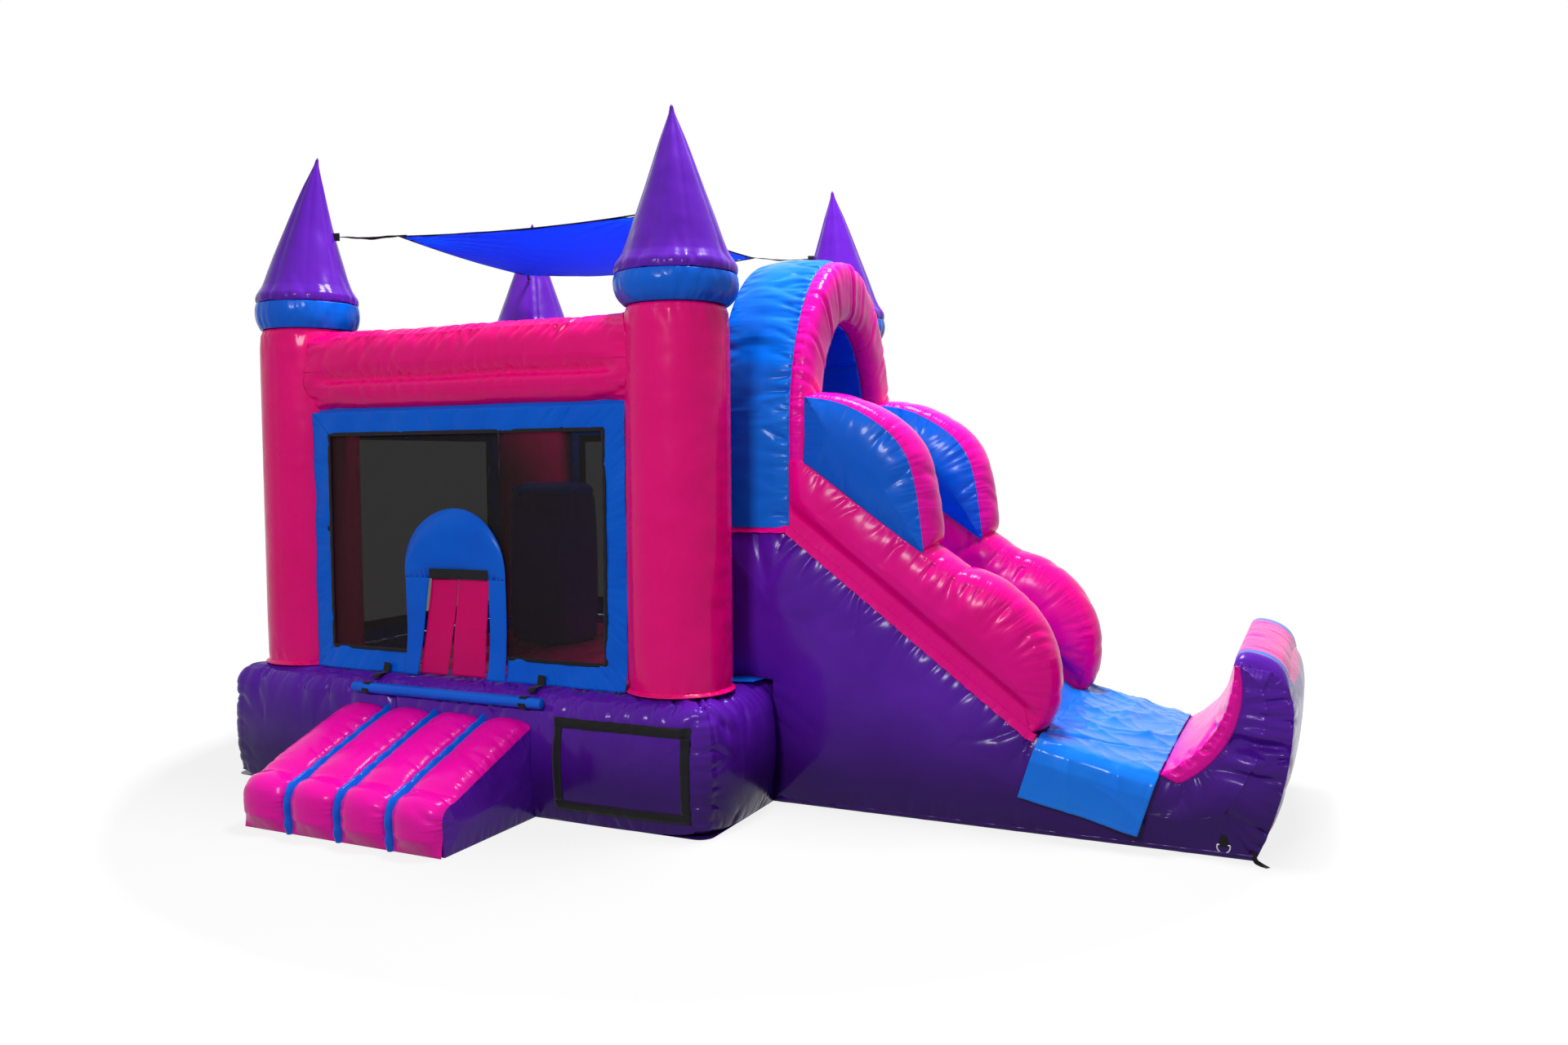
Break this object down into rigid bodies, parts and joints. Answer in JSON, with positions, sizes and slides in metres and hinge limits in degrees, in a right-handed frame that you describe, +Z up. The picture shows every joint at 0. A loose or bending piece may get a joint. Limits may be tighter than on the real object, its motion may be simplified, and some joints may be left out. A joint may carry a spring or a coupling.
{
  "type": "inflatable bounce house",
  "caption": "Inflatable castle bounce house with corner spires, mesh windows, an entrance ramp, an inner climb and an arched side slide.",
  "frame": {"origin": "on the ground in the middle of the four corner posts", "axes": "+X from the house to the slide, -Y towards the entrance ramp, +Z up"},
  "size_m": [6.4019, 4.5256, 4.04],
  "materials": {
    "purple_vinyl": "glossy coated vinyl",
    "pink_vinyl": "glossy coated vinyl",
    "blue_vinyl": "glossy coated vinyl",
    "mesh": "dark coated netting",
    "black_webbing": "woven black webbing",
    "sail_fabric": "woven blue sunshade cloth",
    "steel": "zinc-plated wire",
    "zip_tape": "zip tape",
    "zip_metal": "black zip slider"
  },
  "bodies": {
    "house": {"air_inlet": "purple_vinyl", "anchor_patches": "black_webbing", "arch_band": "blue_vinyl", "arch_ring": "pink_vinyl", "back_window_border": "blue_vinyl", "back_window_mesh": "mesh", "banner_frame": "black_webbing", "base_back_beam": "purple_vinyl", "base_front_beam": "purple_vinyl", "base_left_beam": "purple_vinyl", "base_right_beam": "purple_vinyl", "bumper_straps": "black_webbing", "canopy": "sail_fabric", "canopy_straps": "black_webbing", "climb_holds": "pink_vinyl", "climb_ramp": "purple_vinyl", "deflation_zip": "zip_tape", "door_panel": "blue_vinyl", "door_strip": "black_webbing", "end_wall": "purple_vinyl", "end_wall_lining": "pink_vinyl", "front_window_border": "blue_vinyl", "front_window_mesh": "mesh", "jump_floor": "pink_vinyl", "landing_bed": "purple_vinyl", "left_window_border": "blue_vinyl", "left_window_mesh": "mesh", "platform_block": "purple_vinyl", "popup_column": "purple_vinyl", "post_back_left": "pink_vinyl", "post_back_right": "pink_vinyl", "post_collars": "blue_vinyl", "post_front_left": "pink_vinyl", "post_front_right": "pink_vinyl", "ramp_body": "purple_vinyl", "ramp_cushion": "pink_vinyl", "ramp_stripes": "blue_vinyl", "right_wall_panels": "blue_vinyl", "side_wing_far": "blue_vinyl", "side_wing_near": "blue_vinyl", "slide_body": "purple_vinyl", "slide_cover": "blue_vinyl", "slide_rail_far": "pink_vinyl", "slide_rail_near": "pink_vinyl", "spire_back_left": "purple_vinyl", "spire_back_right": "purple_vinyl", "spire_front_left": "purple_vinyl", "spire_front_right": "purple_vinyl", "step_bumper": "blue_vinyl", "top_tubes_back": "pink_vinyl", "top_tubes_front": "pink_vinyl", "top_tubes_left": "pink_vinyl", "top_tubes_right": "pink_vinyl"},
    "flap_left": {"door_flap_left": "pink_vinyl"},
    "flap_right": {"door_flap_right": "pink_vinyl"},
    "zip_slider": {"zip_slider": "zip_metal"},
    "ring_base_front": {"anchor_ring_base_front": "steel"},
    "ring_base_back": {"anchor_ring_base_back": "steel"},
    "ring_slide_near": {"anchor_ring_slide_near": "steel"},
    "ring_slide_far": {"anchor_ring_slide_far": "steel"}
  },
  "joints": [
    {"name": "flap_left_swing", "type": "hinge", "parent": "house", "child": "flap_left", "pos_m": [-0.02, -1.416, 1.33], "axis": [1, 0, 0], "range_deg": [-80, 80]},
    {"name": "flap_right_swing", "type": "hinge", "parent": "house", "child": "flap_right", "pos_m": [-0.02, -1.416, 1.33], "axis": [1, 0, 0], "range_deg": [-80, 80]},
    {"name": "ring_base_front_swing", "type": "hinge", "parent": "house", "child": "ring_base_front", "pos_m": [-1.7746, -1.3425, 0.066], "axis": [0, 1, 0], "range_deg": [0, 100]},
    {"name": "ring_base_back_swing", "type": "hinge", "parent": "house", "child": "ring_base_back", "pos_m": [-1.7746, 1.3425, 0.066], "axis": [0, 1, 0], "range_deg": [0, 100]},
    {"name": "ring_slide_near_swing", "type": "hinge", "parent": "house", "child": "ring_slide_near", "pos_m": [4.3, -0.7676, 0.066], "axis": [-1, 0, 0], "range_deg": [0, 100]},
    {"name": "ring_slide_far_swing", "type": "hinge", "parent": "house", "child": "ring_slide_far", "pos_m": [4.3, 0.7676, 0.066], "axis": [1, 0, 0], "range_deg": [0, 100]},
    {"name": "zip_slide", "type": "slide", "parent": "house", "child": "zip_slider", "axis": [1, 0, 0], "range_m": [0, 0.38]}
  ]
}
